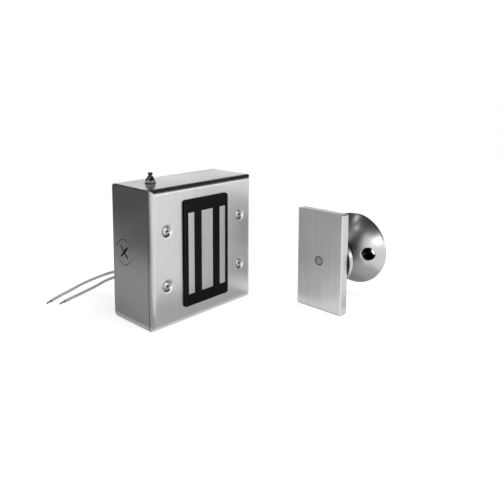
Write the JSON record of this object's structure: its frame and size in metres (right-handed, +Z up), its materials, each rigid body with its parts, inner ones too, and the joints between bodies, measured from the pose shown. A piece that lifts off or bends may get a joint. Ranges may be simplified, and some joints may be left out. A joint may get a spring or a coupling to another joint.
{
  "type": "electromagnetic door holder",
  "caption": "Magnet in a brushed surface box with a push button, and a swivelling catch plate on a domed foot for the door.",
  "frame": {"origin": "centre of the box's back face, on the wall", "axes": "+X right along the cover, +Y into the wall, +Z up; the cover faces -Y"},
  "size_m": [0.2202, 0.2312, 0.1252],
  "materials": {
    "brushed_sheet": "satin vertical grain",
    "screw_steel": "bright",
    "black_case": "satin moulded",
    "potting": "cast, slightly glossy",
    "pole_steel": "ground",
    "bobbin_nylon": "moulded nylon",
    "copper": "enamelled copper wire",
    "plated_steel": "zinc plated",
    "switch_plastic": "moulded",
    "bright_plating": "nickel plated",
    "tinned": "tinned",
    "grommet_rubber": "matt",
    "lead_cover": "extruded wire cover",
    "ground_plate": "ground with vertical grain",
    "pin_steel": "turned",
    "turned_steel": "turned"
  },
  "bodies": {
    "base": {"box_wrap": "brushed_sheet", "left_side_plate": "brushed_sheet", "right_side_plate": "brushed_sheet", "screw_tabs": "brushed_sheet", "cover_plate": "brushed_sheet", "cover_screws": "screw_steel", "magnet_case": "black_case", "magnet_core": "pole_steel", "coil_bobbin": "bobbin_nylon", "coil_winding": "copper", "potting_plug": "potting", "magnet_bracket": "plated_steel", "weld_studs": "screw_steel", "bracket_nuts": "screw_steel", "core_screws": "screw_steel", "switch_body": "switch_plastic", "switch_bushing": "bright_plating", "lock_washer": "bright_plating", "switch_nut": "bright_plating", "button_spring": "bright_plating", "switch_terminals": "tinned", "wire_grommet": "grommet_rubber", "inner_lead_1": "lead_cover", "inner_lead_2": "lead_cover", "link_wire": "lead_cover", "lead_1": "lead_cover", "lead_1_tip": "tinned", "lead_2": "lead_cover", "lead_2_tip": "tinned", "door_foot": "turned_steel", "seat_plug": "turned_steel", "cup_spring": "screw_steel", "snap_ring": "screw_steel"},
    "button": {"push_button": "switch_plastic"},
    "swivel": {"swivel_liner": "bobbin_nylon"},
    "stud": {"ball_stud": "turned_steel"},
    "plate": {"catch_plate": "ground_plate", "plate_pin": "pin_steel", "backing_disc": "turned_steel"}
  },
  "joints": [
    {"name": "button_press", "type": "slide", "parent": "base", "child": "button", "axis": [0, 0, -1], "range_m": [0, 0.0015], "stiffness_N_per_m": 400, "deforming": ["button_spring"]},
    {"name": "plate_turn", "type": "hinge", "parent": "base", "child": "swivel", "pos_m": [0.123, -0.1205, -0.0135], "axis": [0, 0, 1], "range_deg": [-8, 8]},
    {"name": "plate_tilt", "type": "hinge", "parent": "swivel", "child": "stud", "pos_m": [0.123, -0.1205, -0.0135], "axis": [0, 1, 0], "range_deg": [-8, 8]},
    {"name": "plate_spin", "type": "hinge", "parent": "stud", "child": "plate", "pos_m": [0.074, -0.1205, -0.0135], "axis": [1, 0, 0], "continuous": true}
  ]
}
